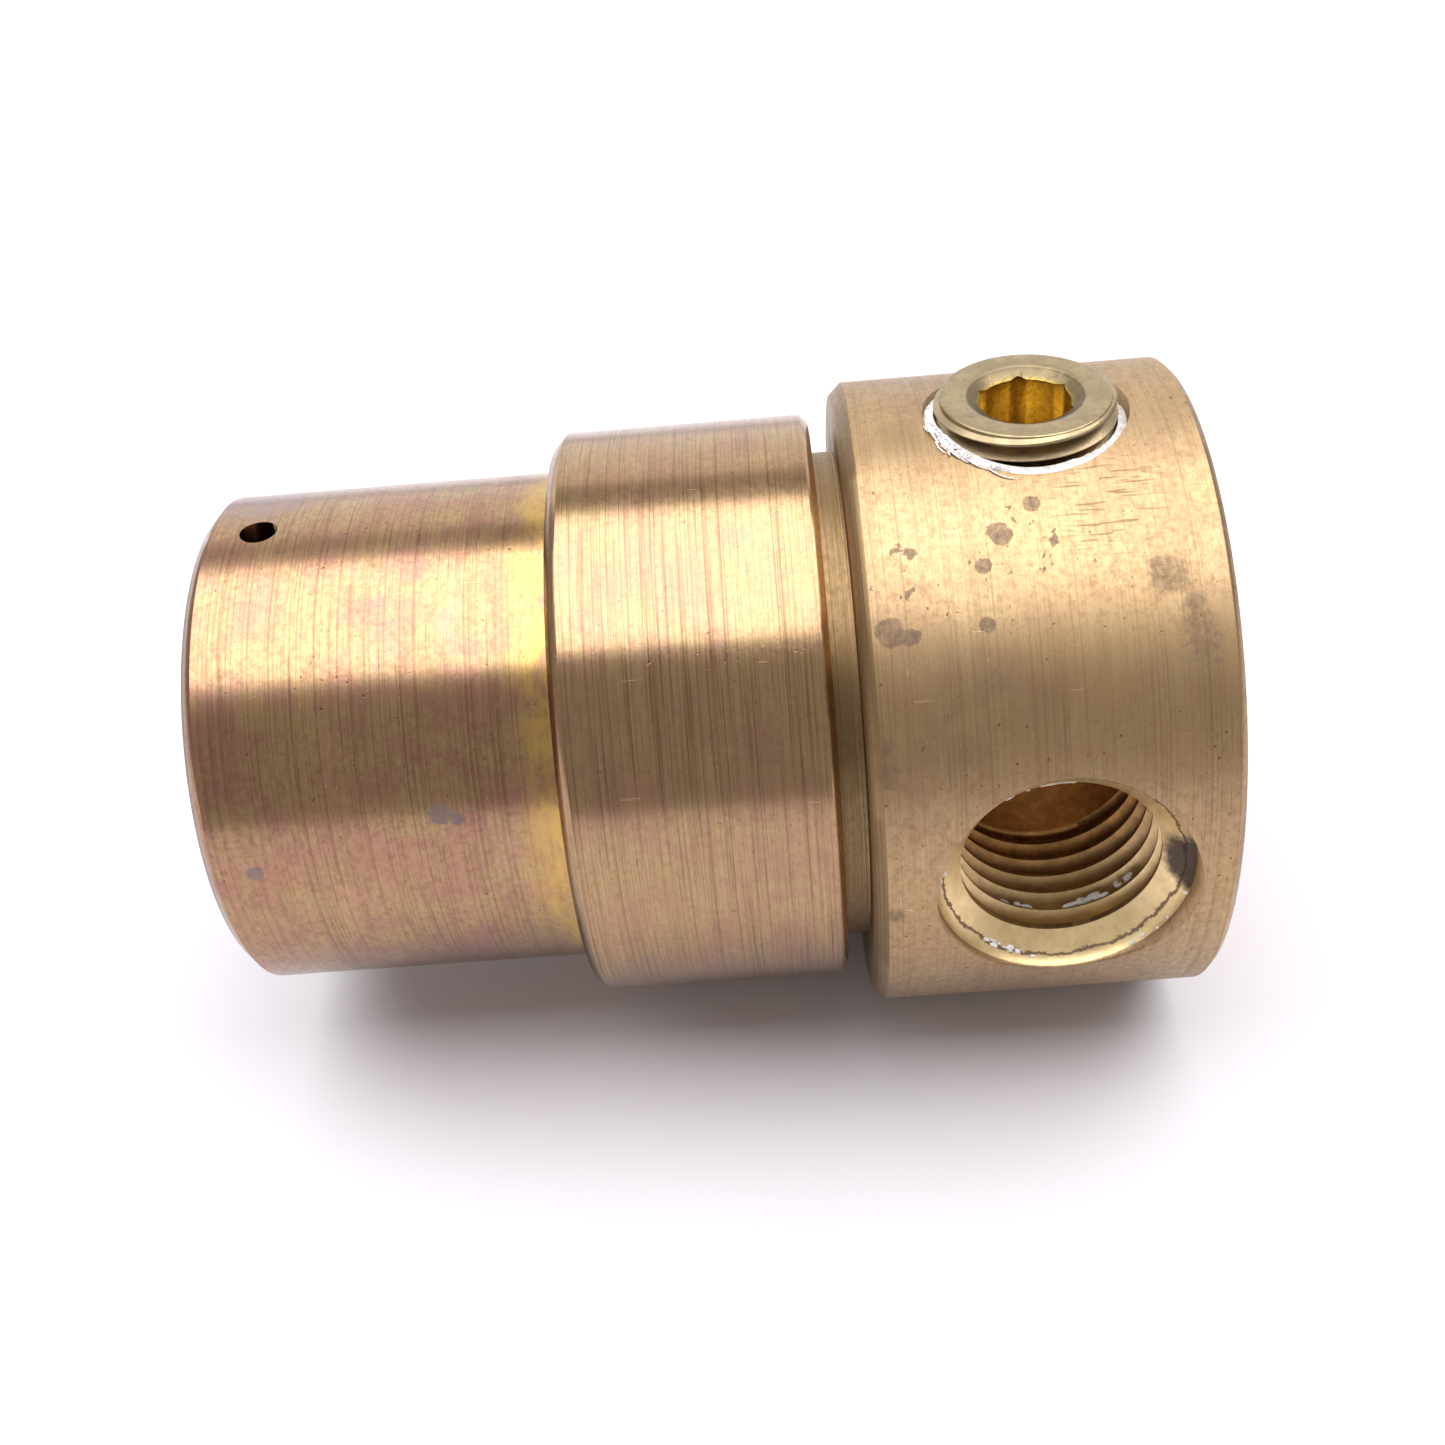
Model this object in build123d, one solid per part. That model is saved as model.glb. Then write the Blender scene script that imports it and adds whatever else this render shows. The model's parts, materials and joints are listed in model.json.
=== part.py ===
from build123d import *
import os
from math import cos, radians, sin, sqrt, tan

# Swivel pipe coupling, millimetres. +X runs along the coupling's axis, from the mouth of the pipe
# socket to the ported body. +Z is the plugged port's axis and -Y the open port's. The origin is the
# centre of the socket's mouth. Angles round the axis start at -Y and turn over +Z.

# driving dimensions
INCH = 25.4
bar_r = 1.5 * INCH / 2          # the ported body is turned from 1 1/2 inch bar
overall_length = 56.85
body_left = 37.26               # left face of the ported body
port_x = 47.7                   # both ports lie in this plane
half_drill_point = radians(118 / 2)

# rotor sleeve: barrel with the pipe socket, and collar over the ball races
barrel_r = 15.07
collar_r = 17.35
collar_left = 20.65
collar_right = 35.80
socket_r = 0.875 * INCH / 2 + 0.05   # takes 3/4 inch nominal copper tube
socket_depth = 12.6
flow_r = 7.5
cavity_r = 10.9                 # seal cavity
cavity_left = 15.0
race_seat_left = 24.4           # shoulder between the seal cavity and the race seat
race_seat_r = 15.2
witness_x = 3.6                 # small hole that shows that the tube is home
witness_r = 1.1
seal_groove_x = (21.6, 23.2)
seal_groove_r = 12.3

# ported body: bar, neck, shoulder and spigot
neck_r = 14.97
neck_left = 34.9
shoulder_r = 12.9
spigot_r = 11.2
spigot_left = 24.8
circlip_x = (25.5, 26.1)
circlip_seat_r = 10.65
circlip_r = 12.5
chamber_r = 5.5
chamber_end = 51.6

# ball races
ball_r = 3 / 32 * INCH / 2
ball_play = 0.02
ball_count = 34                 # a full ring with no cage
ball_pitch_r = 13.125
race_gap = 0.15                 # from each race's plain surface to the balls' pitch circle
inner_race_x = (26.2, 33.95)
outer_race_x = (25.6, 33.9)
rows = {"left": (28.0, 200), "right": (32.0, 230)}   # x, and angle of the ball-loading hole
load_hole_r = 1.3
race_plug_head_r = 1.5
race_plug_top = 15.7            # distances off the axis
screw_r = 1.6
screw_top = 17.1
screw_hex = 0.05 * INCH
screw_hex_depth = 0.8

# taper pipe threads, drawn as plain walls
side_drill_r = 7 / 16 * INCH / 2     # tap drill of a 1/4 inch NPT thread
side_floor = 4.0
side_thread_end = 16.2
side_mouth_r = 7.13             # counterbore at the mouth
side_mouth_floor = 17.6         # its countersink runs from here down to the thread
taper = 1 / 32                  # radius lost in each millimetre
plug_r = 5.08                   # 1/8 inch NPT plug, over its thread crests
plug_top = 19.93
plug_length = 7.5
plug_edge = 0.45
plug_hex = 3 / 16 * INCH
plug_hex_depth = 3.6
plug_dish_r = 3.3
plug_fit = 0.06                 # radial clearance of the plug in its hole
plug_drill_r = 4.3
plug_rim = (5.67, 17.4)         # (radius, floor) of the spot face round the plug
tape_x = (17.45, 18.05)
tape_r = 5.55

# face seal
seat_face = 24.3
seat_back = 27.0
seat_step = 25.65
seat_r = 9.55
seat_step_r = 8.2
seat_bore_r = 6.4
seal_film = 0.03
seal_nose_r = (7.4, 8.9)
seal_nose_left = 23.4
seal_back = 20.25
seal_r = 10.8
seal_bore_r = 7.0
washer_left = 19.6
spring_wire_r = 0.45
spring_r = 9.0
spring_turns = 2.5
pin_r = 0.5
pin_ring_r = 10.25
pin_x = (13.2, 21.3)
pin_angles = (90, 270)
pin_end_gap = 0.8               # more than the seal ring's float


def turned(*corners):
    """Solid of revolution about X from (x, radius) corners."""
    return revolve(make_face(Polyline(*corners, close=True)), Axis.X)


def ring(x0, x1, outer, inner):
    """Plain ring about X."""
    return turned((x0, inner), (x0, outer), (x1, outer), (x1, inner))


def o_ring(x, r_mid, r_wire):
    """Ring of round section about X."""
    return revolve(Pos(x, r_mid) * Circle(r_wire), Axis.X)


def outward(x, angle):
    """Plane on the axis at x that faces outward at this angle."""
    a = radians(angle)
    return Plane(origin=(x, 0, 0), x_dir=(1, 0, 0), z_dir=(0, -cos(a), sin(a)))


def radial_cone(x, angle, low, high):
    """Cylinder or cone on a radial line between two (radius, distance off the axis) ends."""
    (r0, h0), (r1, h1) = low, high
    centred = (Align.CENTER, Align.CENTER, Align.MIN)
    if r0 == r1:
        solid = Cylinder(r0, h1 - h0, align=centred)
    else:
        solid = Cone(r0, r1, h1 - h0, align=centred)
    return outward(x, angle) * Pos(0, 0, h0) * solid


def radial_pin(x, angle, r, h0, h1):
    """Cylinder on a radial line."""
    return radial_cone(x, angle, (r, h0), (r, h1))


def hex_pit(x, angle, across, top, depth):
    """Hexagonal socket below top, with the point of the drill that started it."""
    corner = across / sqrt(3)
    hexagon = RegularPolygon(corner, 6, rotation=30)
    point_depth = across / 2 / tan(half_drill_point)
    point = radial_cone(x, angle, (0.05, top - depth - point_depth), (across / 2, top - depth))
    return outward(x, angle) * Pos(0, 0, top - depth) * extrude(hexagon, amount=depth) + point


def ball_track(x, play):
    """The ring-shaped space that one row of balls rolls in."""
    return o_ring(x, ball_pitch_r, ball_r + play)


def plug_side(h, gap=0.0):
    """(radius, height) of the plug's taper at this height, with a gap added for its hole."""
    return plug_r - taper * (plug_top - plug_edge - h) + gap, h


def pin_spot(angle):
    """Middle of the drive pin at this angle."""
    a = radians(angle)
    return Pos(sum(pin_x) / 2, -pin_ring_r * cos(a), pin_ring_r * sin(a)) * Rot(Y=90)


def port_body():
    """Ported body with neck, shoulder and spigot, bored from the spigot's end."""
    left_edge, right_edge, lip = 0.72, 0.38, 0.3
    recess_r = seat_r + 0.05
    body = turned(
        (spigot_left, recess_r),
        (spigot_left, spigot_r - lip),
        (spigot_left + lip, spigot_r),
        (inner_race_x[1], spigot_r),
        (inner_race_x[1], shoulder_r),
        (neck_left, shoulder_r),
        (neck_left, neck_r),
        (body_left, neck_r),
        (body_left, bar_r - left_edge),
        (body_left + left_edge, bar_r),
        (overall_length - right_edge, bar_r),
        (overall_length, bar_r - right_edge),
        (overall_length, 0),
        (chamber_end + chamber_r / tan(half_drill_point), 0),
        (chamber_end, chamber_r),
        (seat_back, chamber_r),
        (seat_back, recess_r),
    )
    body -= ring(circlip_x[0], circlip_x[1], spigot_r + 1, circlip_seat_r)
    body -= radial_pin(port_x, 0, side_drill_r, side_floor, side_thread_end + 0.1)
    mouth = (side_mouth_r, side_mouth_floor)
    body -= radial_cone(port_x, 0, (side_drill_r, side_thread_end), mouth)
    body -= radial_pin(port_x, 0, side_mouth_r, side_mouth_floor, bar_r + 1)
    plug_bottom = plug_top - plug_length
    body -= radial_pin(port_x, 90, plug_drill_r, 0, plug_bottom)
    body -= radial_cone(port_x, 90, plug_side(plug_bottom - 1, plug_fit), plug_side(bar_r, plug_fit))
    body -= radial_pin(port_x, 90, plug_rim[0], plug_rim[1], bar_r + 1)
    return body


def port_plug():
    """Hexagon-socket taper plug, over its thread crests."""
    bottom = plug_top - plug_length
    dish = (plug_dish_r - plug_hex / 2) / tan(half_drill_point)
    plug = radial_cone(port_x, 90, plug_side(bottom), plug_side(plug_top))
    plug = fillet(plug.edges().group_by(Axis.Z)[-1], plug_edge)
    plug = chamfer(plug.edges().group_by(Axis.Z)[0], plug_edge)
    plug -= hex_pit(port_x, 90, plug_hex, plug_top, plug_hex_depth)
    plug -= radial_cone(port_x, 90, (plug_hex / 2, plug_top - dish), (plug_dish_r, plug_top))
    return plug


def plug_tape():
    """Thread tape squeezed out round the plug."""
    low, high = tape_x
    tape = radial_pin(port_x, 90, tape_r, low, high)
    return tape - radial_cone(port_x, 90, plug_side(low, 0.02), plug_side(high, 0.02))


def rotor_sleeve():
    """Stepped sleeve: pipe socket, web, seal cavity and race seat, with its small holes."""
    barrel_edge, left_edge, right_edge, lead_in = 0.75, 0.7, 0.45, 0.3
    sleeve = turned(
        (0, socket_r + lead_in),
        (0, barrel_r - barrel_edge),
        (barrel_edge, barrel_r),
        (collar_left, barrel_r),
        (collar_left, collar_r - left_edge),
        (collar_left + left_edge, collar_r),
        (collar_right - right_edge, collar_r),
        (collar_right, collar_r - right_edge),
        (collar_right, race_seat_r),
        (race_seat_left, race_seat_r),
        (race_seat_left, cavity_r),
        (cavity_left, cavity_r),
        (cavity_left, flow_r),
        (socket_depth, flow_r),
        (socket_depth, socket_r),
        (lead_in, socket_r),
    )
    sleeve -= ring(*seal_groove_x, seal_groove_r, cavity_r - 1)
    sleeve -= radial_pin(witness_x, 90, witness_r, 0, barrel_r + 1)
    for x, angle in rows.values():
        sleeve -= radial_pin(x, angle, screw_r + 0.02, race_seat_r - 1, collar_r + 1)
    for angle in pin_angles:
        sleeve -= pin_spot(angle) * Cylinder(pin_r, pin_x[1] - pin_x[0])
    return sleeve


def inner_race():
    """Steel ring with both inner tracks, pressed on the spigot."""
    race = ring(*inner_race_x, ball_pitch_r - race_gap, spigot_r)
    for x, _ in rows.values():
        race -= ball_track(x, ball_play)
    return race


def outer_race():
    """Steel ring with both outer tracks and a loading hole into each."""
    race = ring(*outer_race_x, race_seat_r, ball_pitch_r + race_gap)
    for x, angle in rows.values():
        race -= ball_track(x, ball_play)
        race -= radial_pin(x, angle, load_hole_r, ball_pitch_r, race_seat_r + 1)
    return race


def race_circlip():
    """External circlip that keeps the inner race on the spigot, with its gap downward."""
    gap = 3.2
    clip = ring(*circlip_x, circlip_r, circlip_seat_r)
    slot = Box(circlip_x[1] - circlip_x[0] + 1, gap, circlip_r)
    return clip - Pos(sum(circlip_x) / 2, 0, -circlip_r) * slot


def ball_row(x):
    """Full ring of balls."""
    step = 360 / ball_count
    first = outward(x, 0) * Pos(0, 0, ball_pitch_r) * Sphere(ball_r)
    return Compound([Rot(X=step * k) * first.solid() for k in range(ball_count)])


def race_plugs():
    """Plugs that fill the loading holes; their inner ends carry on the outer tracks."""
    plugs = []
    for x, angle in rows.values():
        plug = radial_pin(x, angle, load_hole_r - 0.02, ball_pitch_r + race_gap, race_seat_r)
        plug += radial_pin(x, angle, race_plug_head_r, race_seat_r, race_plug_top)
        plugs.append((plug - ball_track(x, ball_play)).solid())
    return Compound(plugs)


def plug_screws():
    """Set screws that hold the race plugs down."""
    screws = []
    for x, angle in rows.values():
        screw = radial_pin(x, angle, screw_r, race_plug_top, screw_top)
        screws.append((screw - hex_pit(x, angle, screw_hex, screw_top, screw_hex_depth)).solid())
    return Compound(screws)


def grease_seal():
    """Flat lip ring between the sleeve's shoulder and the spigot."""
    return ring(race_seat_left, race_seat_left + 0.9, race_seat_r, spigot_r + 0.05)


def dust_seal():
    """Wiper ring in the collar's mouth, round the body's shoulder."""
    return ring(outer_race_x[1] + 0.1, neck_left - 0.15, race_seat_r, shoulder_r + 0.08)


def seal_seat():
    """Stationary lapped ring in the end of the spigot, stepped for its O-ring."""
    return turned(
        (seat_face, seat_bore_r),
        (seat_face, seat_r),
        (seat_step, seat_r),
        (seat_step, seat_step_r),
        (seat_back, seat_step_r),
        (seat_back, seat_bore_r),
    )


def seat_o_ring():
    """O-ring round the back of the seat."""
    wire_r = (seat_r - seat_step_r) / 2
    return o_ring(seat_step + wire_r, seat_step_r + wire_r, wire_r)


def seal_ring():
    """Carbon ring with the raised sealing nose, notched for the drive pins."""
    nose_in, nose_out = seal_nose_r
    carbon = turned(
        (seal_back, seal_bore_r),
        (seal_back, seal_r),
        (seal_nose_left, seal_r),
        (seal_nose_left, nose_out),
        (seat_face - seal_film, nose_out),
        (seat_face - seal_film, nose_in),
        (seal_nose_left, nose_in),
        (seal_nose_left, seal_bore_r),
    )
    return carbon - pin_slots()


def pin_slots():
    """Slots that let the seal ring and its washer slide along the drive pins."""
    low, high = washer_left - 1, pin_x[1] + pin_end_gap
    width, depth = 2 * pin_r + 0.16, seal_r - pin_ring_r + pin_r + 0.08
    slot = Pos(0, 0, seal_r) * Box(high - low, width, 2 * depth)
    return [outward((low + high) / 2, angle) * slot for angle in pin_angles]


def spring_washer():
    """Follower washer between the spring and the seal ring."""
    return ring(washer_left, seal_back, seal_r, seal_bore_r + 0.6) - pin_slots()


def seal_o_ring():
    """O-ring in the sleeve's groove, round the seal ring."""
    wire_r = (seal_groove_r - seal_r) / 2 - 0.02
    return o_ring(sum(seal_groove_x) / 2, seal_r + 0.03 + wire_r, wire_r)


def seal_spring():
    """Coil spring that pushes the seal ring against its seat."""
    height = washer_left - cavity_left - 2 * spring_wire_r
    coil = Helix(height / spring_turns, height, spring_r)
    wire = sweep(Plane(coil @ 0, z_dir=coil % 0) * Circle(spring_wire_r), coil, is_frenet=True)
    wire = Pos(cavity_left + spring_wire_r, 0, 0) * Rot(Y=90) * wire
    return wire & ring(cavity_left, washer_left, cavity_r, flow_r)


def drive_pins():
    """Dowels that turn the seal ring with the sleeve."""
    pin = Cylinder(pin_r, pin_x[1] - pin_x[0])
    return Compound([(pin_spot(a) * pin).solid() for a in pin_angles])


PARTS = {
    "port_body": port_body,
    "port_plug": port_plug,
    "plug_tape": plug_tape,
    "rotor_sleeve": rotor_sleeve,
    "inner_race": inner_race,
    "outer_race": outer_race,
    "race_circlip": race_circlip,
    "ball_row_left": lambda: ball_row(rows["left"][0]),
    "ball_row_right": lambda: ball_row(rows["right"][0]),
    "race_plugs": race_plugs,
    "plug_screws": plug_screws,
    "grease_seal": grease_seal,
    "dust_seal": dust_seal,
    "seal_seat": seal_seat,
    "seat_o_ring": seat_o_ring,
    "seal_ring": seal_ring,
    "seal_o_ring": seal_o_ring,
    "spring_washer": spring_washer,
    "seal_spring": seal_spring,
    "drive_pins": drive_pins,
}

os.makedirs("parts", exist_ok=True)
for name, make in PARTS.items():
    export_step(make(), f"parts/{name}.step")
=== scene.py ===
"""Swivel pipe coupling: threads, thread tape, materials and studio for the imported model."""
import json
import math
import random

import bmesh
import bpy
from mathutils import Matrix, Vector


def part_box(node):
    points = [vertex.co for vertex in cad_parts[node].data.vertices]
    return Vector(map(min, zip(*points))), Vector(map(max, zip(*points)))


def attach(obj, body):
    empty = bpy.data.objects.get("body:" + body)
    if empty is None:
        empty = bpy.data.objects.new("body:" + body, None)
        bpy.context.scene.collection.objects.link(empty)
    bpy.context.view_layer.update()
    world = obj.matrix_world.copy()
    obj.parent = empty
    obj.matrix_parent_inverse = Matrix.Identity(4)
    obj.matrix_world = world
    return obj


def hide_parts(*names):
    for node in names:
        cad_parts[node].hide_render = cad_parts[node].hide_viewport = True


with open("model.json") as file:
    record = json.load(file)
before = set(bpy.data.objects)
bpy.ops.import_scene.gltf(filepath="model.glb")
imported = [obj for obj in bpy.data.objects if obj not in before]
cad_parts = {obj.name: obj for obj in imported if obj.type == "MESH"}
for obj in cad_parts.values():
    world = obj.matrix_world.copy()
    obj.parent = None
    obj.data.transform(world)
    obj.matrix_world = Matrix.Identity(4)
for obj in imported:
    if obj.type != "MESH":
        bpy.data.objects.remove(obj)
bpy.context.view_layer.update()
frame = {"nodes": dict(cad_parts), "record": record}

MM = 0.001
NODES = frame["nodes"]
MOUNTS = {m["name"]: m for m in frame["record"]["mounts"]}

# Sizes in millimetres. A height is a distance off the coupling's axis, along a port.
BAR_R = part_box("port_body")[1].y / MM
PORT_X = MOUNTS["side_port"]["pos_m"][0] / MM
TAPER = 1 / 32                       # radius lost per millimetre of a taper pipe thread
THREAD_DEPTH = 0.8                   # share of the pitch
THREAD_FIT = 0.03                    # gap between the plug's thread and its port's

SIDE_PITCH = 25.4 / 18
SIDE_ROOT_R = 6.72                   # at the mouth
SIDE_MOUTH = 17.2
SIDE_START = 5.83                    # height of a crest on the port's +X side
SIDE_RUNOUT = (6.6, 8.6)             # the thread's depth grows from nothing between these heights
SIDE_LEAD = (15.5, 16.25)            # and fades out again between these
SIDE_DRILL_R = 5.556                 # the countersink starts at this radius
SIDE_SINK_R = 7.13                   # and ends at this one
SIDE_SINK = (16.2, 17.6)             # heights where it starts and ends
SIDE_FLAKE_R = 5.66                  # where old tape lies on the thread

PLUG_PITCH = 25.4 / 27
PLUG_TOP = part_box("port_plug")[1].z / MM
PLUG_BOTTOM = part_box("port_plug")[0].z / MM
PLUG_R = 5.08
PLUG_EDGE = 0.45
PLUG_FACE_R = 4.74                   # the plain face inside the thread
PLUG_STEP = 0.07                     # the thread stops this far below the face
PLUG_START = PLUG_TOP - 9.11 * PLUG_PITCH       # height of a crest on the plug's +X side
PLUG_HEX = 3 / 16 * 25.4             # across flats
PLUG_HEX_DEPTH = 3.6
PLUG_PILOT_R = 2.52
PLUG_DISH_R = 3.3
DRILL_POINT = math.radians(118 / 2)
RIM_R = 5.67                         # the spot face round the plug
RIM_FLOOR = 17.4
TORN_SIDE = -150                     # degrees round the plug: the front left, where its tape is torn

BARREL_R = 15.07
COLLAR_X = 20.7                      # the collar's look starts here, just past its step
NECK_X = 38.0                        # the neck's look ends here, past the body's left edge
BORE_SHADE_EDGE = (13.6, 14.9)             # painted shade: the sleeve is darkened inside the first radius, in its bore and pin hole, and plain past the second


# ------------------------------------------------------------------ meshes
def new_object(name, verts, faces):
    """A closed mesh object from points in millimetres, faces turned outward."""
    bm = bmesh.new()
    points = [bm.verts.new(Vector(v) * MM) for v in verts]
    for face in faces:
        bm.faces.new([points[i] for i in face])
    close_ends(bm)
    bmesh.ops.recalc_face_normals(bm, faces=bm.faces)
    mesh = bpy.data.meshes.new(name)
    bm.to_mesh(mesh)
    bm.free()
    obj = bpy.data.objects.new(name, mesh)
    bpy.context.scene.collection.objects.link(obj)
    return obj


def close_ends(bm):
    """Fill each open edge loop with a fan from its middle."""
    open_edges = {e for e in bm.edges if e.is_boundary}
    while open_edges:
        loop, front = set(), [open_edges.pop()]
        while front:
            edge = front.pop()
            loop.add(edge)
            linked = {e for v in edge.verts for e in v.link_edges} & open_edges
            open_edges -= linked
            front.extend(linked)
        points = {v for e in loop for v in e.verts}
        middle = bm.verts.new(sum((v.co for v in points), Vector()) / len(points))
        for edge in loop:
            bm.faces.new([*edge.verts, middle])


def revolved(name, outline):
    """A closed skin of revolution about Z from (radius, z) points."""
    segments = 160
    turn = [2 * math.pi * i / segments for i in range(segments)]
    verts = [(r * math.cos(a), r * math.sin(a), z) for r, z in outline for a in turn]
    faces = [(j * segments + i, j * segments + (i + 1) % segments,
              (j + 1) * segments + (i + 1) % segments, (j + 1) * segments + i)
             for j in range(len(outline) - 1) for i in range(segments)]
    return new_object(name, verts, faces)


def prism(name, sides, across, z0, z1, turn):
    """A regular prism about Z."""
    corner = across / 2 / math.cos(math.pi / sides)
    ring = [math.radians(turn) + 2 * math.pi * i / sides for i in range(sides)]
    verts = [(corner * math.cos(a), corner * math.sin(a), z) for z in (z0, z1) for a in ring]
    faces = [(i, (i + 1) % sides, sides + (i + 1) % sides, sides + i) for i in range(sides)]
    return new_object(name, verts, faces)


def thread_profile(u):
    """Depth of the thread at this share of its pitch: 0 on the crest, 1 in the root."""
    ramp = 1 - abs(2 * (u % 1) - 1)
    return min(1, max(0, (ramp - 0.06) / 0.88))


THREAD_STEPS = (0, 0.03, 0.06, 0.15, 0.28, 0.40, 0.47, 0.5, 0.53, 0.60, 0.72, 0.85, 0.94, 0.97)


def screw(name, pitch, low, high, crest, depth):
    """A closed right-hand screw about Z: a true helix of this crest radius and thread depth."""
    segments = 120
    steps = len(THREAD_STEPS)
    rings = (math.ceil((high - low) / pitch) + 1) * steps + 1
    verts, faces = [], []
    for j in range(rings):
        u = THREAD_STEPS[j % steps]
        for i in range(segments):
            share = i / segments
            z = low + (j // steps + u + share - 1) * pitch
            r = crest(z) - depth(z) * thread_profile(u)
            a = 2 * math.pi * share
            verts.append((r * math.cos(a), r * math.sin(a), z))
    for j in range(rings - 1):
        for i in range(segments):
            ahead = (i + 1) % segments
            up = j if ahead else j + steps      # past a full turn the helix is one pitch higher
            if up + 1 < rings:
                faces.append((j * segments + i, up * segments + ahead,
                              (up + 1) * segments + ahead, (j + 1) * segments + i))
    return new_object(name, verts, faces)


def combine(obj, other, operation):
    """Cut with, add or keep what is shared with another closed object, which is used up."""
    step = obj.modifiers.new("combine", "BOOLEAN")
    step.operation, step.object, step.solver = operation, other, "EXACT"
    shape = bpy.data.meshes.new_from_object(obj.evaluated_get(bpy.context.evaluated_depsgraph_get()))
    obj.modifiers.clear()
    old, obj.data = obj.data, shape
    shape.name = obj.name
    bpy.data.meshes.remove(old)
    bpy.data.objects.remove(other)


def along_port(obj, angle):
    """Turn an object about Z into one about the port at this angle (0 is -Y and 90 is +Z)."""
    place = Matrix.Translation((PORT_X * MM, 0, 0)) @ Matrix.Rotation(math.radians(90 - angle), 4, "X")
    obj.data.transform(place)
    return obj


def copy_of(node, name):
    """A welded copy of a CAD node, to carry on in detail."""
    obj = bpy.data.objects.new(name, NODES[node].data.copy())
    obj.data.name = name
    bpy.context.scene.collection.objects.link(obj)
    bm = bmesh.new()
    bm.from_mesh(obj.data)
    bmesh.ops.remove_doubles(bm, verts=bm.verts, dist=1e-7)
    bm.to_mesh(obj.data)
    bm.free()
    obj.data.materials.clear()
    return obj


def smooth(obj, angle=32):
    """Shade smooth across edges blunter than this angle, with exact normals on round walls about X."""
    mesh = obj.data
    mesh.shade_smooth()
    mesh.set_sharp_from_angle(angle=math.radians(angle))
    normals = [Vector()] * len(mesh.loops)
    for face in mesh.polygons:
        points = [mesh.vertices[i].co for i in face.vertices]
        radii = [math.hypot(p.y, p.z) for p in points]
        if max(radii) - min(radii) > 2e-6 or abs(face.normal.x) > 0.02:
            continue
        side = 1 if face.normal.dot(Vector((0, *face.center.yz))) > 0 else -1
        for loop, p in zip(face.loop_indices, points):
            normals[loop] = side * Vector((0, p.y, p.z)).normalized()
    mesh.normals_split_custom_set(normals)


def keep(obj, body, slot, material, *nodes):
    """Finish a piece: its body, its material and the CAD nodes it stands for; the slot argument is not
    used.
    """
    obj.data.materials.clear()
    obj.data.materials.append(material)
    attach(obj, body)
    if nodes:
        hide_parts(*nodes)


# ------------------------------------------------------------------ pieces
def ramp(value, low, high):
    """0 below low, 1 above high and a soft step between."""
    t = min(1, max(0, (value - low) / (high - low)))
    return t * t * (3 - 2 * t)


def side_thread():
    """The space a 1/4 inch taper pipe thread leaves, run out at both ends."""
    depth = SIDE_PITCH * THREAD_DEPTH

    def crest(z):
        share = ramp(z, *SIDE_RUNOUT) * (1 - ramp(z, *SIDE_LEAD))
        return SIDE_ROOT_R - (SIDE_MOUTH - z) * TAPER - depth * (1 - share)

    cutter = screw("side_thread", SIDE_PITCH, SIDE_START, SIDE_MOUTH, crest, lambda z: depth)
    return along_port(cutter, 0)


def plug_crest(z):
    """Radius of the plug's crests at this height."""
    return PLUG_R - (PLUG_TOP - PLUG_EDGE - z) * TAPER


def surface_height(radius, angle):
    """Height of the body's round wall at this radius and angle about the plug's axis."""
    return math.sqrt(BAR_R ** 2 - (radius * math.sin(angle)) ** 2)


def port_body(material):
    body = copy_of("port_body", "ported_body")
    combine(body, side_thread(), "DIFFERENCE")
    smooth(body)
    keep(body, "port_body", "body_brass", material, "port_body")


def plug_port_thread(material):
    """The thread in the plugged port, as a liner set into the body's plain hole."""
    depth = PLUG_PITCH * THREAD_DEPTH
    low, high = PLUG_BOTTOM - 1.5, RIM_FLOOR - 0.1
    wall = [(plug_crest(z) + 0.5, z) for z in (low, high)]
    liner = revolved("plug_port_thread", wall)
    hollow = screw("hollow", PLUG_PITCH, PLUG_START, high + 1,
                   lambda z: plug_crest(z) + THREAD_FIT, lambda z: depth)
    combine(along_port(liner, 90), along_port(hollow, 90), "DIFFERENCE")
    smooth(liner)
    keep(liner, "port_body", "body_brass", material)


def rounded_edge(radius, top, size):
    """Outline points round a top edge, from the wall to the face."""
    turn = (math.radians(d) for d in (0, 15, 30, 45, 60, 75, 90))
    return [(radius - size * (1 - math.cos(a)), top - size * (1 - math.sin(a))) for a in turn]


def cut_socket(obj):
    """Cut the dished, drilled and broached hexagon socket out of an object on the plug's axis."""
    floor = PLUG_TOP - PLUG_HEX_DEPTH
    socket = prism("socket", 6, PLUG_HEX, floor, PLUG_TOP + 1, 30)
    combine(obj, along_port(socket, 90), "DIFFERENCE")
    rise = 1 / math.tan(DRILL_POINT)
    hole = [(0.02, floor - PLUG_PILOT_R * rise), (PLUG_PILOT_R, floor)]
    dish = [(PLUG_PILOT_R, PLUG_TOP - (PLUG_DISH_R - PLUG_PILOT_R) * rise),
            (PLUG_DISH_R - 0.25, PLUG_TOP - 0.25 * rise)]
    shoulder = [(PLUG_DISH_R - 0.06, PLUG_TOP - 0.075), (PLUG_DISH_R + 0.12, PLUG_TOP - 0.03),
                (PLUG_DISH_R + 0.32, PLUG_TOP), (PLUG_DISH_R + 0.32, PLUG_TOP + 1)]
    pilot = revolved("pilot", hole + dish + shoulder)
    combine(obj, along_port(pilot, 90), "DIFFERENCE")


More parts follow.
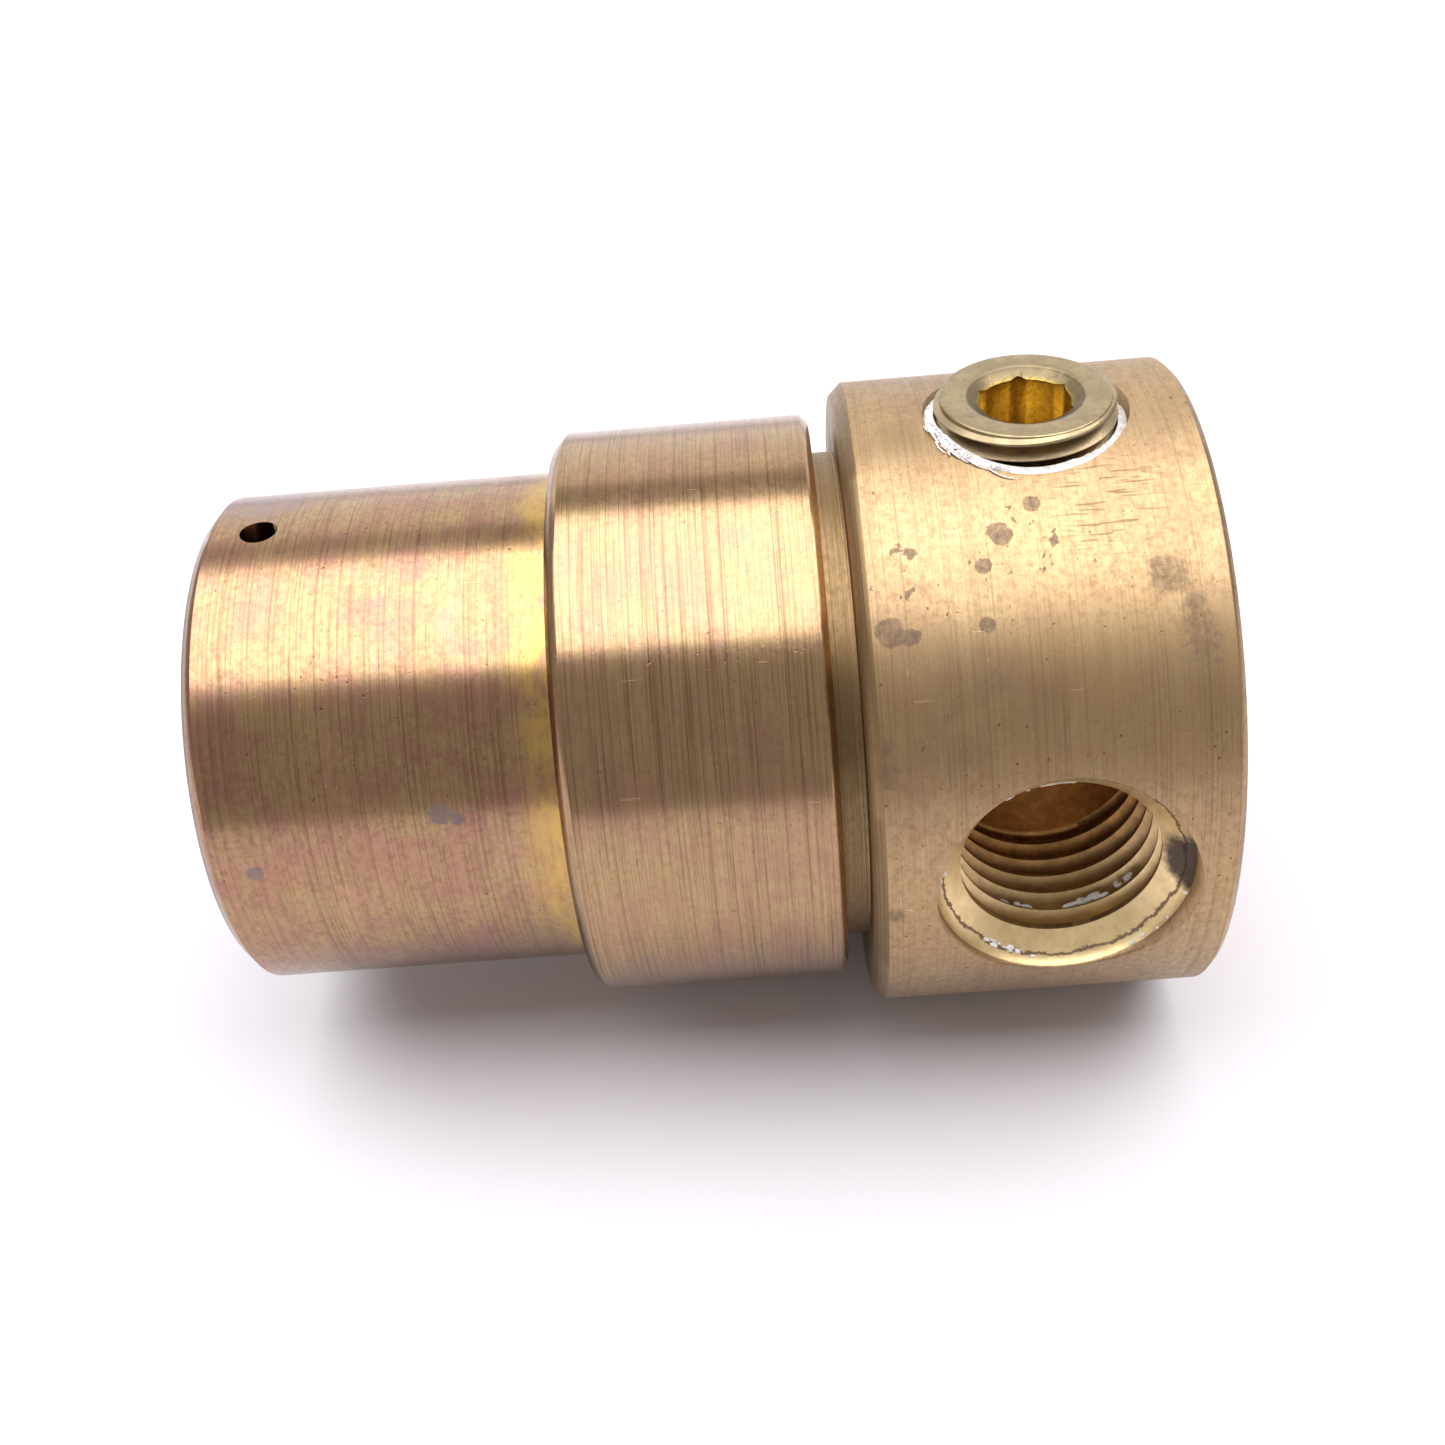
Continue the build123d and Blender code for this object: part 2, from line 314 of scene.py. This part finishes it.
def port_plug(material):
    """The plug: a threaded rod turned to its outline, its plain face, and a hexagon socket."""
    low = PLUG_BOTTOM
    wall = [(plug_crest(low) - 0.5, low), (plug_crest(low), low + 0.5),
            *rounded_edge(PLUG_R, PLUG_TOP - PLUG_STEP, PLUG_EDGE)]
    lip = [(3.9, PLUG_TOP - 0.6), (PLUG_FACE_R, PLUG_TOP - 0.35),
           *rounded_edge(PLUG_FACE_R, PLUG_TOP, 0.13)]
    plug = along_port(revolved("threaded_plug", wall), 90)
    face = along_port(revolved("face", lip), 90)
    for obj in (plug, face):
        cut_socket(obj)
    rod = screw("rod", PLUG_PITCH, PLUG_START, PLUG_TOP + 1, plug_crest,
                lambda z: PLUG_PITCH * THREAD_DEPTH)
    combine(plug, along_port(rod, 90), "INTERSECT")
    bm = bmesh.new()
    bm.from_mesh(plug.data)
    bm.from_mesh(face.data)
    bm.to_mesh(plug.data)
    bm.free()
    bpy.data.objects.remove(face)
    smooth(plug)
    keep(plug, "plug", "plug_brass", material, "port_plug")


def plug_tape(material):
    """Thread tape squeezed up round the plug, ragged and torn toward the front left."""
    rng = random.Random(4)
    segments = 220
    inner, outer = plug_crest(RIM_FLOOR + 1) + 0.03, RIM_R - 0.04
    waves = [(rng.randint(5, 60), rng.uniform(0, 6.3)) for _ in range(14)]
    rows = []
    for i in range(segments):
        a = 2 * math.pi * i / segments
        lift = max(0, math.cos(a - math.radians(TORN_SIDE))) ** 1.5
        ragged = sum(math.sin(n * a + p) for n, p in waves) / len(waves)
        top = min(surface_height(outer, a) - 0.03, RIM_FLOOR + 0.86 + 0.60 * lift + 0.16 * ragged)
        wide = outer - 0.12 * (1 - lift) * abs(ragged) - 0.02
        section = [(inner, RIM_FLOOR + 0.02), (wide, RIM_FLOOR + 0.02), (wide, top - 0.06),
                   (wide - 0.07, top), (inner + 0.10, top + 0.03), (inner, top + 0.10)]
        rows.append([(r * math.cos(a) + PORT_X, r * math.sin(a), z) for r, z in section])
    count = len(rows[0])
    verts = [v for row in rows for v in row]
    faces = [(i * count + k, ((i + 1) % segments) * count + k,
              ((i + 1) % segments) * count + (k + 1) % count, i * count + (k + 1) % count)
             for i in range(segments) for k in range(count)]
    tape = new_object("thread_tape_ring", verts, faces)
    smooth(tape, 50)
    keep(tape, "tape", "thread_tape", material, "plug_tape")


def shred(rng, start, reach, sweep, height):
    """Points along one torn end of tape: up from the gap, over the rim and round it."""
    points = []
    for k in range(9):
        t = k / 8
        radius = RIM_R - 0.30 + (0.30 + reach) * math.sin(1.7 * t)
        a = start + sweep * t * t + rng.uniform(-0.02, 0.02)
        rest = surface_height(radius, a) + 0.03
        points.append((radius, a, rest + height * math.sin(math.pi * t)))
    return points


def tape_shreds(material):
    """Torn ends of the tape on the front left of the plug."""
    rng = random.Random(11)
    verts, faces = [], []
    for _ in range(34):
        start = math.radians(rng.gauss(TORN_SIDE, 15))
        reach = rng.uniform(-0.1, 0.22) + (0.25 if rng.random() < 0.2 else 0)
        line = shred(rng, start, reach, rng.uniform(-0.16, 0.34), rng.uniform(0.0, 0.14))
        wide = rng.uniform(0.03, 0.12)
        base = len(verts)
        for k, (radius, a, z) in enumerate(line):
            half = wide * (1 - 0.8 * k / len(line))
            for out, lift in ((-half, 0), (half, 0.01), (half, 0.05), (-half, 0.05)):
                reached = radius + out
                verts.append((PORT_X + reached * math.cos(a), reached * math.sin(a), z + lift))
        for k in range(len(line) - 1):
            for n in range(4):
                low, ahead = base + 4 * k, (n + 1) % 4
                faces.append((low + n, low + ahead, low + 4 + ahead, low + 4 + n))
    shreds = new_object("tape_shreds", verts, faces)
    smooth(shreds, 60)
    keep(shreds, "tape", "thread_tape", material)


def flake(rng, verts, faces, centre, across, along, size):
    """One ragged flake lying on the plane of two directions."""
    sides = 9
    base = len(verts)
    normal = Vector(across).cross(Vector(along)).normalized()
    ring = []
    for k in range(sides):
        a = 2 * math.pi * k / sides
        r = rng.uniform(0.45, 1.0)
        ring.append(Vector(centre) + Vector(across) * (size[0] * r * math.cos(a))
                    + Vector(along) * (size[1] * r * math.sin(a)))
    for lift in (-0.05, 0.05):
        verts.extend(tuple(p + normal * lift) for p in ring)
    faces.append(tuple(range(base + sides - 1, base - 1, -1)))
    faces.append(tuple(range(base + sides, base + 2 * sides)))
    for k in range(sides):
        ahead = (k + 1) % sides
        faces.append((base + k, base + ahead, base + sides + ahead, base + sides + k))


def port_residue(material):
    """Flakes of old thread tape left on the open port's countersink and threads."""
    rng = random.Random(23)
    verts, faces = [], []
    spots = [(rng.gauss(-118, 7), rng.uniform(6.45, 6.75)) for _ in range(9)]
    spots += [(rng.gauss(178, 9), rng.uniform(6.5, 6.9)) for _ in range(6)]
    spots += [(rng.uniform(-60, 0), rng.uniform(6.9, 7.08)) for _ in range(5)]
    spots += [(rng.uniform(85, 130), 5.62) for _ in range(12)]
    slope = (SIDE_SINK[1] - SIDE_SINK[0]) / (SIDE_SINK_R - SIDE_DRILL_R)
    for angle, radius in spots:
        a = math.radians(angle)
        height = SIDE_SINK[0] + (radius - SIDE_DRILL_R) * slope
        out = Vector((math.cos(a), -slope, math.sin(a))).normalized()
        along = Vector((-math.sin(a), 0, math.cos(a)))
        centre = (PORT_X + radius * math.cos(a), -height, radius * math.sin(a))
        size = rng.uniform(0.06, 0.2), rng.uniform(0.12, 0.4)
        flake(rng, verts, faces, centre, out, along, size)
    for low, high, count in ((-82, -58, 12), (-50, -40, 4), (-120, -104, 7)):
        for _ in range(count):
            a = math.radians(rng.uniform(low, high))
            along = Vector((-math.sin(a), 0, math.cos(a)))
            height = rng.uniform(14.15, 14.5)
            centre = (PORT_X + SIDE_FLAKE_R * math.cos(a), -height, SIDE_FLAKE_R * math.sin(a))
            size = rng.uniform(0.1, 0.28), rng.uniform(0.2, 0.5)
            flake(rng, verts, faces, centre, (0, 1, 0), along, size)
    residue = new_object("port_residue", verts, faces)
    smooth(residue, 60)
    keep(residue, "port_body", "thread_tape", material)


def sleeve(material):
    obj = copy_of("rotor_sleeve", "stepped_sleeve")
    smooth(obj)
    keep(obj, "rotor", "sleeve_bronze", material, "rotor_sleeve")


# ------------------------------------------------------------------ materials
class Shader:
    """A material's nodes, made by short calls that return sockets."""

    def __init__(self, name):
        self.material = bpy.data.materials.new(name)
        self.material.use_nodes = True
        self.tree = self.material.node_tree
        self.bsdf = self.tree.nodes["Principled BSDF"]
        self.place = self.node("TexCoord").outputs["Object"]

    def node(self, kind, **settings):
        made = self.tree.nodes.new("ShaderNode" + kind)
        for key, value in settings.items():
            setattr(made, key, value)
        return made

    def feed(self, socket, value):
        if isinstance(value, bpy.types.NodeSocket):
            self.tree.links.new(value, socket)
        elif value is not None:
            socket.default_value = value

    def math(self, operation, a, b=None):
        made = self.node("Math", operation=operation)
        self.feed(made.inputs[0], a)
        self.feed(made.inputs[1], b)
        return made.outputs[0]

    def stretched(self, scale, turn=(0, 0, 0), shift=(0, 0, 0)):
        made = self.node("Mapping")
        self.feed(made.inputs["Vector"], self.place)
        made.inputs["Scale"].default_value = [s / MM for s in scale]
        made.inputs["Rotation"].default_value = [math.radians(t) for t in turn]
        made.inputs["Location"].default_value = shift
        return made.outputs[0]

    def noise(self, scale, detail=2, rough=0.5, turn=(0, 0, 0), shift=(0, 0, 0), warp=0):
        """Noise with this many features per millimetre along X, Y and Z."""
        return self.noise_at(self.stretched(scale, turn, shift), detail, rough, warp)

    def noise_at(self, place, detail, rough, warp=0):
        made = self.node("TexNoise")
        self.feed(made.inputs["Vector"], place)
        made.inputs["Scale"].default_value = 1
        made.inputs["Detail"].default_value = detail
        made.inputs["Roughness"].default_value = rough
        made.inputs["Distortion"].default_value = warp
        return made.outputs["Fac"]

    def length(self, a, b):
        """Length of the diagonal of two sides at right angles."""
        squares = self.math("ADD", self.math("MULTIPLY", a, a), self.math("MULTIPLY", b, b))
        return self.math("SQRT", squares)

    def off_axis(self):
        """Distance from the X axis."""
        return self.length(self.axis("Y"), self.axis("Z"))

    def rings(self, across, around, detail, rough, shift=0):
        """Noise drawn out in circles round X, on round walls and on end faces alike."""
        made = self.node("CombineXYZ")
        outward = self.math("ADD", self.axis("X"), self.off_axis())
        self.feed(made.inputs["X"], self.math("ADD", self.math("MULTIPLY", outward, across), shift))
        for name in "YZ":
            self.feed(made.inputs[name], self.math("MULTIPLY", self.axis(name), around))
        return self.noise_at(made.outputs[0], detail, rough)

    def band(self, value, low, high, out_low=0, out_high=1):
        """value moved from low..high to out_low..out_high, and held there."""
        made = self.node("MapRange", clamp=True)
        made.interpolation_type = "SMOOTHSTEP"
        for k, v in zip(("Value", "From Min", "From Max", "To Min", "To Max"),
                        (value, low, high, out_low, out_high)):
            self.feed(made.inputs[k], v)
        return made.outputs["Result"]

    def mix(self, share, a, b):
        made = self.node("Mix", data_type="RGBA")
        self.feed(made.inputs["Factor"], share)
        self.feed(made.inputs[6], (*a, 1) if isinstance(a, tuple) else a)
        self.feed(made.inputs[7], (*b, 1) if isinstance(b, tuple) else b)
        return made.outputs[2]

    def axis(self, name):
        made = self.node("SeparateXYZ")
        self.feed(made.inputs[0], self.stretched((1, 1, 1)))
        return made.outputs[name]

    def near(self, x, angle, radius, reach):
        """1 at a place on a round wall about X (angle 0 is -Y, 90 is +Z), falling to 0 at reach."""
        a = math.radians(angle)
        made = self.node("VectorMath", operation="DISTANCE")
        self.feed(made.inputs[0], self.stretched((1, 1, 1)))
        made.inputs[1].default_value = (x, -radius * math.cos(a), radius * math.sin(a))
        return self.band(made.outputs["Value"], 0, reach, 1, 0)

    def near_any(self, places, widened=1.0):
        """The highest of near() over (x, angle, radius, reach) places."""
        nearest = None
        for x, angle, radius, reach in places:
            near = self.near(x, angle, radius, widened * reach)
            nearest = near if nearest is None else self.math("MAXIMUM", nearest, near)
        return nearest

    def bump(self, height, distance, strength=1.0):
        made = self.node("Bump")
        self.feed(made.inputs["Height"], height)
        made.inputs["Distance"].default_value = distance * MM
        made.inputs["Strength"].default_value = strength
        return made.outputs["Normal"]

    def finish(self, color, roughness, normal=None, **constants):
        self.feed(self.bsdf.inputs["Base Color"], (*color, 1) if isinstance(color, tuple) else color)
        self.feed(self.bsdf.inputs["Roughness"], roughness)
        if normal is not None:
            self.feed(self.bsdf.inputs["Normal"], normal)
        for key, value in constants.items():
            self.bsdf.inputs[key.replace("_", " ")].default_value = value
        return self.material


def streak(s, scale, turn, shift, low, high, share):
    """Straight scratches: noise drawn out along one direction and cut at its peaks."""
    drawn = s.noise(scale, detail=0, turn=turn, shift=shift)
    return s.band(drawn, low, high, 0, share)


def turned_metal(s, base, tint, rub, dark, lined, speckled):
    """Colour, dark marks and height of lathe-turned metal: lines round X, clouds, pits and scratches."""
    lines = s.rings(9, 0.03, detail=3, rough=0.8)
    strokes = s.noise((8, 0.16, 0.16), detail=3, rough=0.7, shift=(3, 1, 2))
    grain = s.noise((2.6, 2.2, 2.2), detail=5, rough=0.75)
    cloud = s.noise((0.16, 0.13, 0.13), detail=5, rough=0.6, warp=0.6)
    mottle = s.noise((0.34, 0.28, 0.28), detail=5, rough=0.62, shift=(6, 6, 1), warp=0.6)
    pits = s.noise((2.9, 2.3, 2.3), detail=2, shift=(7, 3, 5))

    color = s.mix(s.band(cloud, 0.36, 0.64), base, tint)
    color = s.mix(s.band(mottle, 0.40, 0.62, 0, 0.60), color, rub)
    color = s.mix(s.band(grain, 0.42, 0.68, 0, speckled), color, dark)
    color = s.mix(s.band(lines, 0.46, 0.68, 0, lined), color, dark)
    patchy = s.band(mottle, 0.36, 0.60, 0.3, 1.0)
    color = s.mix(s.math("MULTIPLY", patchy, s.band(strokes, 0.56, 0.68, 0, lined)), color, dark)
    pit = s.band(pits, 0.69, 0.76, 0, 0.8)
    color = s.mix(pit, color, (0.10, 0.055, 0.03))
    scratch = s.math("MAXIMUM", streak(s, (0.5, 9, 3), (10, 25, 30), (4, 1, 7), 0.82, 0.87, 0.35),
                     streak(s, (7, 0.4, 2.2), (35, 15, 55), (9, 2, 3), 0.82, 0.87, 0.35))
    color = s.mix(scratch, color, tuple(min(1, 1.8 * c) for c in base))
    height = s.math("ADD", s.math("MULTIPLY", lines, 0.9), s.math("MULTIPLY", strokes, 0.5))
    height = s.math("ADD", height, s.math("MULTIPLY", grain, 0.35))
    height = s.math("SUBTRACT", height, s.math("MULTIPLY", s.math("ADD", pit, scratch), 0.6))
    return color, grain, height


def stain(s, color, dark_marks, spots, paint, blur=0.14, share=0.72):
    """Dark spots at (x, angle, radius of the wall, reach), with ragged edges; also adds to the dark marks.
    """
    ragged = 0.95
    torn = s.noise((1.1, 1.0, 1.0), detail=5, rough=0.72, shift=(2, 8, 6), warp=0.5)
    inside = s.noise((2.2, 2.0, 2.0), detail=4, rough=0.7, shift=(1, 5, 9))
    total = s.near_any(spots, 1.5)
    edge = s.math("ADD", total, s.math("MULTIPLY", s.math("SUBTRACT", torn, 0.5), ragged))
    mask = s.math("MULTIPLY", s.band(edge, 0.45, 0.45 + blur), s.band(total, 0.02, 0.10))
    mask = s.math("MULTIPLY", mask, s.band(inside, 0.32, 0.6, 0.55, 1.0))
    return s.mix(s.math("MULTIPLY", mask, share), color, paint), s.math("MAXIMUM", dark_marks, mask)


def blotches(s, color, dark_marks, places, size, level, paint, share):
    """Irregular blotches of about this size, wherever (x, angle, radius of the wall, reach) allows."""
    field = s.noise((1 / size, 0.9 / size, 0.9 / size), detail=3, rough=0.55,
                    shift=(4.4, 2.1, 8.3), warp=0.3)
    lifted = s.math("ADD", field, s.band(s.near_any(places), 0.0, 0.7, -0.3, 0.0))
    mask = s.band(lifted, level, level + 0.035)
    return s.mix(s.math("MULTIPLY", mask, share), color, paint), s.math("MAXIMUM", dark_marks, mask)


def on_wall(radius, *marks):
    """Places on one round wall, from (x, angle, reach)."""
    return [(x, angle, radius, reach) for x, angle, reach in marks]


STAIN_BROWN = (0.13, 0.095, 0.075)
BODY_SPOTS = on_wall(BAR_R, (38.9, 47, 1.1), (39.9, 46, 0.7), (43.9, 47, 0.6), (45.0, 62, 0.9),
                     (44.0, 56.5, 0.6), (46.9, 67, 0.7))
BODY_BLOTCHES = on_wall(BAR_R, (46.4, 59.5, 4.6), (39.6, 57, 3.4))
BODY_SMUDGES = on_wall(BAR_R, (53.4, 53, 1.9), (54.9, 41, 1.9), (54.7, 44, 1.7), (54.6, 48, 1.0),
                       (38.1, 25, 1.2), (38.0, 29, 1.1), (44.3, 38, 1.4), (38.3, -2, 0.9))
SLEEVE_SPOTS = on_wall(BARREL_R, (3.0, 8, 0.7), (13.9, 19, 0.9), (14.7, 17.5, 0.5))


def down_side_port(s):
    """Distance from the side port's axis, height up it, and 1 inside its hole."""
    inside_r, lowest = 7.10, 4
    rho = s.length(s.math("SUBTRACT", s.axis("X"), PORT_X), s.axis("Z"))
    height = s.math("MULTIPLY", s.axis("Y"), -1)
    inside = s.math("MULTIPLY", s.math("LESS_THAN", rho, inside_r),
                    s.math("GREATER_THAN", height, lowest))
    return rho, height, inside


def body_brass():
    s = Shader("body_brass")
    color, grain, height = turned_metal(s, (0.44, 0.295, 0.155), (0.38, 0.25, 0.145), (0.45, 0.325, 0.18),
                                       (0.17, 0.105, 0.055), 0.38, 0.34)
    color, dark_marks = stain(s, color, 0.0, BODY_SPOTS, STAIN_BROWN)
    color, dark_marks = blotches(s, color, dark_marks, BODY_BLOTCHES, 1.25, 0.60, STAIN_BROWN, 0.62)
    color, dark_marks = stain(s, color, dark_marks, BODY_SMUDGES, (0.15, 0.11, 0.08), blur=0.5, share=0.55)
    scuffed = s.band(s.near(51.0, 66, BAR_R, 5.5), 0.15, 0.7)
    scuff = streak(s, (0.7, 6, 6), (0, 14, 0), (2, 6, 4), 0.60, 0.68, 0.7)
    color = s.mix(s.math("MULTIPLY", scuffed, scuff), color, (0.15, 0.09, 0.05))

    x = s.axis("X")
    turning = s.noise((5, 0.03, 0.03), detail=2, rough=0.7, shift=(3, 3, 3))
    neck = s.math("MULTIPLY", s.band(x, NECK_X - 0.1, NECK_X, 1, 0), s.band(turning, 0.35, 0.6, 0.45, 1.0))
    color = s.mix(neck, color, (0.26, 0.175, 0.088))
    height = s.math("ADD", height, s.math("MULTIPLY", neck, 1.5))

    rho, up, inside = down_side_port(s)
    fine = s.noise((1.2, 1.2, 1.2), detail=4, rough=0.7)
    # inside the side port: lighter brass near the mouth, with painted shade darkening it further down the
    # hole
    bright = s.mix(s.band(fine, 0.35, 0.65), (0.84, 0.66, 0.36), (0.74, 0.56, 0.30))
    shaded_deep = s.mix(s.band(fine, 0.35, 0.65), (0.66, 0.36, 0.13), (0.46, 0.24, 0.08))
    bore = s.mix(s.band(up, 8.5, 15.6), shaded_deep, bright)
    color = s.mix(inside, color, bore)
    ring_at, ring_r, ring_low = 17.12, 7.0, 16.7
    wander = s.math("ADD", up, s.math("MULTIPLY", s.math("SUBTRACT", fine, 0.5), 0.55))
    off = s.math("ABSOLUTE", s.math("SUBTRACT", wander, ring_at))
    ring = s.math("MULTIPLY", s.band(off, 0.03, 0.10, 1, 0), s.math("LESS_THAN", rho, ring_r))
    ring = s.math("MULTIPLY", ring, s.math("GREATER_THAN", up, ring_low))
    color = s.mix(s.math("MULTIPLY", ring, 0.85), color, (0.14, 0.09, 0.06))
    # a near-black patch inside the side port's mouth, on its +X side
    patch_reach = s.math("ADD", s.near(54.7, 0.5, SIDE_SINK[1], 4.2), s.math("MULTIPLY", fine, 0.5))
    dark_patch = s.math("MULTIPLY", s.band(patch_reach, 0.62, 0.98), inside)
    color = s.mix(s.math("MULTIPLY", dark_patch, 0.9), color, (0.06, 0.045, 0.05))
    dark_marks = s.math("MAXIMUM", dark_marks, s.math("MAXIMUM", ring, dark_patch))
    rough = s.math("ADD", s.band(grain, 0.3, 0.7, 0.36, 0.48), s.math("MULTIPLY", dark_marks, 0.18))
    return s.finish(color, rough, s.bump(height, 0.012, 0.8), Metallic=1.0, Anisotropic=0.35)


def sleeve_bronze():
    s = Shader("sleeve_bronze")
    color, grain, height = turned_metal(s, (0.40, 0.235, 0.14), (0.37, 0.20, 0.145), (0.43, 0.32, 0.15),
                                       (0.12, 0.055, 0.035), 0.48, 0.34)
    x = s.axis("X")
    collar = s.math("GREATER_THAN", x, COLLAR_X)
    barrel = s.math("LESS_THAN", x, COLLAR_X)
    color = s.mix(s.math("MULTIPLY", collar, 0.3), color, (0.46, 0.33, 0.18))
    dense = s.rings(7, 0.05, detail=4, rough=0.8, shift=8)
    dark_lines = s.math("MULTIPLY", collar, s.band(dense, 0.50, 0.64, 0, 0.55))
    color = s.mix(dark_lines, color, (0.11, 0.055, 0.03))
    patch = s.noise((0.45, 0.22, 0.22), detail=4, rough=0.65, shift=(5, 5, 5), warp=0.5)
    heat = s.math("MULTIPLY", s.band(x, 17.4, 20.6), barrel)
    gold = s.math("MULTIPLY", heat, s.band(patch, 0.36, 0.58))
    color = s.mix(s.math("MULTIPLY", gold, 0.75), color, (0.62, 0.41, 0.10))
    pink = s.math("MULTIPLY", s.band(patch, 0.58, 0.70), barrel)
    color = s.mix(s.math("MULTIPLY", pink, 0.4), color, (0.50, 0.25, 0.20))
    smeared = s.math("ADD", s.near(2.2, 108, BARREL_R, 6.5), s.math("MULTIPLY", patch, 0.6))
    smear = s.band(smeared, 0.45, 1.15)
    wiped = s.band(s.noise((1.1, 0.5, 0.5), detail=5, rough=0.7, shift=(9, 4, 2)), 0.34, 0.62, 0.35, 1.0)
    color = s.mix(s.math("MULTIPLY", s.math("MULTIPLY", smear, wiped), 0.7), color, (0.26, 0.20, 0.205))
    # painted shade: darker on the sleeve's surfaces nearer its axis, in the bore and down the pin hole
    color = s.mix(s.band(s.off_axis(), *BORE_SHADE_EDGE, 0.85, 0), color, (0.10, 0.06, 0.04))
    color, dark_marks = stain(s, color, 0.0, SLEEVE_SPOTS, (0.20, 0.16, 0.17))
    dull = s.math("ADD", s.band(grain, 0.3, 0.7, 0.17, 0.26), s.math("MULTIPLY", collar, -0.03))
    rough = s.math("ADD", dull, s.math("MULTIPLY", dark_marks, 0.2))
    return s.finish(color, rough, s.bump(height, 0.010, 0.8), Metallic=1.0, Anisotropic=0.35)


def plug_brass():
    s = Shader("plug_brass")
    cloud = s.noise((0.7, 0.7, 0.7), detail=5, rough=0.65)
    grain = s.noise((4, 4, 4), detail=4, rough=0.6)
    color = s.mix(s.band(cloud, 0.36, 0.62), (0.38, 0.30, 0.17), (0.30, 0.235, 0.145))
    color = s.mix(s.band(grain, 0.55, 0.75, 0, 0.6), color, (0.16, 0.11, 0.07))
    socket_r, socket_edge = 2.8, (19.45, 19.62)
    rho = s.length(s.math("SUBTRACT", s.axis("X"), PORT_X), s.axis("Y"))
    socket = s.math("MULTIPLY", s.math("LESS_THAN", rho, socket_r), s.band(s.axis("Z"), *socket_edge, 1, 0))
    color = s.mix(socket, color, s.mix(s.band(grain, 0.4, 0.7), (0.62, 0.45, 0.12), (0.44, 0.30, 0.08)))
    rough = s.band(cloud, 0.3, 0.7, 0.26, 0.42)
    return s.finish(color, rough, s.bump(s.math("ADD", grain, cloud), 0.02, 0.6), Metallic=1.0)


def tape_white():
    s = Shader("thread_tape")
    fold = s.noise((3, 3, 6), detail=4, rough=0.6)
    color = s.mix(s.band(fold, 0.3, 0.7), (0.88, 0.87, 0.89), (0.60, 0.57, 0.56))
    return s.finish(color, 0.45, s.bump(fold, 0.06))


def plain(name, color, rough, metallic=0.0):
    """A lightly speckled material for a piece inside the coupling."""
    s = Shader(name)
    speck = s.noise((4, 4, 4), detail=3)
    shade = s.mix(s.band(speck, 0.3, 0.7), color, tuple(c * 0.8 for c in color))
    return s.finish(shade, s.band(speck, 0.3, 0.7, rough, min(1, rough + 0.1)),
                    s.bump(speck, 0.01), Metallic=metallic)


# ------------------------------------------------------------------ studio
def camera():
    """The camera that was fitted to the photograph."""
    foot_x, distance, elevation = 33.0, 106.9, math.radians(38.2)
    turn = (50.977, 4.648, -1.154)
    data = bpy.data.cameras.new("camera")
    data.sensor_width = 36
    data.lens = 42.39
    data.clip_start, data.clip_end = 0.01, 20
    cam = bpy.data.objects.new("camera", data)
    bpy.context.scene.collection.objects.link(cam)
    cam.location = Vector((foot_x, -distance * math.cos(elevation), distance * math.sin(elevation))) * MM
    cam.rotation_euler = [math.radians(a) for a in turn]
    bpy.context.scene.camera = cam


def area(name, size, place, aim, power):
    """A rectangular light; the size and places are in metres and the power in watts."""
    data = bpy.data.lights.new(name, "AREA")
    data.shape = "RECTANGLE"
    data.size, data.size_y = size
    data.energy = power
    obj = bpy.data.objects.new(name, data)
    obj.location = place
    obj.rotation_euler = (Vector(aim) - Vector(place)).to_track_quat("-Z", "Y").to_euler()
    bpy.context.scene.collection.objects.link(obj)


def studio():
    """A pale floor, a dim warm world and two large soft lights."""
    half = 1.6                       # metres
    corners = ((-half, -half), (half, -half), (half, half), (-half, half))
    floor = new_object("floor", [(x / MM, y / MM, z) for z in (-BAR_R - 1, -BAR_R) for x, y in corners],
                       [(0, 1, 5, 4), (1, 2, 6, 5), (2, 3, 7, 6), (3, 0, 4, 7)])
    s = Shader("floor")
    speck = s.noise((0.02, 0.02, 0.02), detail=3)
    paper = s.mix(speck, (0.64, 0.62, 0.67), (0.67, 0.65, 0.70))
    floor.data.materials.append(s.finish(paper, 0.7))
    world = bpy.data.worlds.new("studio")
    world.use_nodes = True
    background = world.node_tree.nodes["Background"]
    background.inputs["Color"].default_value = (1.0, 0.94, 0.90, 1)
    background.inputs["Strength"].default_value = 0.50
    bpy.context.scene.world = world
    area("overhead", (1.4, 0.69), (0.03, 0.02, 0.60), (0.03, 0.02, 0), 11.0)
    area("behind", (2.4, 1.0), (0.03, 1.3, 0.5), (0.03, 0, 0), 7.0)
    bpy.context.scene.view_settings.view_transform = "Standard"


camera()
BODY_BRASS = body_brass()
TAPE = tape_white()
port_body(BODY_BRASS)
plug_port_thread(BODY_BRASS)
port_plug(plug_brass())
plug_tape(TAPE)
tape_shreds(TAPE)
port_residue(TAPE)
sleeve(sleeve_bronze())

PLAIN = {                            # colour, roughness and, for metals, how metallic
    "race_steel": ((0.5, 0.51, 0.53), 0.25, 1.0),
    "ball_steel": ((0.75, 0.76, 0.78), 0.06, 1.0),
    "black_steel": ((0.06, 0.06, 0.065), 0.4, 0.8),
    "seal_rubber": ((0.02, 0.02, 0.02), 0.55),
    "seal_ptfe": ((0.75, 0.73, 0.68), 0.5),
    "seal_carbon": ((0.04, 0.04, 0.045), 0.35),
    "seat_ceramic": ((0.8, 0.77, 0.7), 0.2),
    "spring_steel": ((0.6, 0.6, 0.6), 0.2, 1.0),
}
FINISHES = {name: plain(name, *look) for name, look in PLAIN.items()}
for part in frame["record"]["subparts"]:
    finish = FINISHES.get(part["material_slot"])
    if finish:
        for material_slot in NODES[part["node"]].material_slots:
            material_slot.material = finish

studio()
